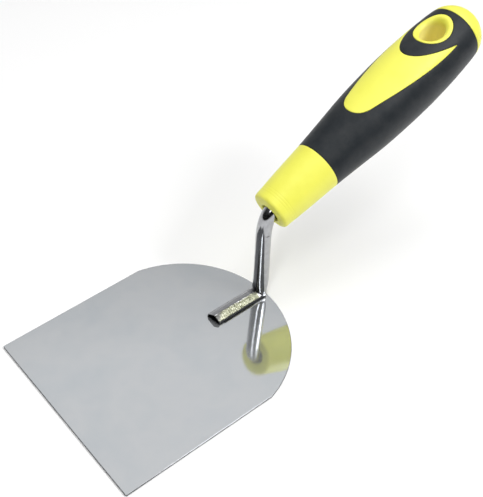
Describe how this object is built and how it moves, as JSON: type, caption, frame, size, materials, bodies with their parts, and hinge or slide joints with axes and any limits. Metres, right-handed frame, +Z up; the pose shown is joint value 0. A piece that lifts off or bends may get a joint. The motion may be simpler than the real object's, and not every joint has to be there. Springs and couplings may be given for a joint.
{
  "type": "gauging trowel",
  "caption": "Plasterer's trowel with a flat round-backed steel blade, a bent tube neck and a soft-grip handle with a hanging hole.",
  "frame": {"origin": "middle of the blade's flat underside", "axes": "+Z up, out of the blade's top face; +Y back along the blade towards the handle; +X across the blade"},
  "size_m": [0.1034, 0.2528, 0.1234],
  "materials": {
    "blade_steel": "mirror polished stainless sheet",
    "neck_steel": "polished tube, rough-pressed at the foot",
    "weld_metal": "dull weld bead",
    "yellow_plastic": "semi-gloss moulded",
    "dark_elastomer": "matte moulded soft grip"
  },
  "bodies": {
    "root": {"blade": "blade_steel", "gooseneck": "neck_steel", "weld_seam_right": "weld_metal", "weld_seam_left": "weld_metal", "handle_core": "yellow_plastic", "grip_sleeve": "dark_elastomer"}
  },
  "joints": []
}
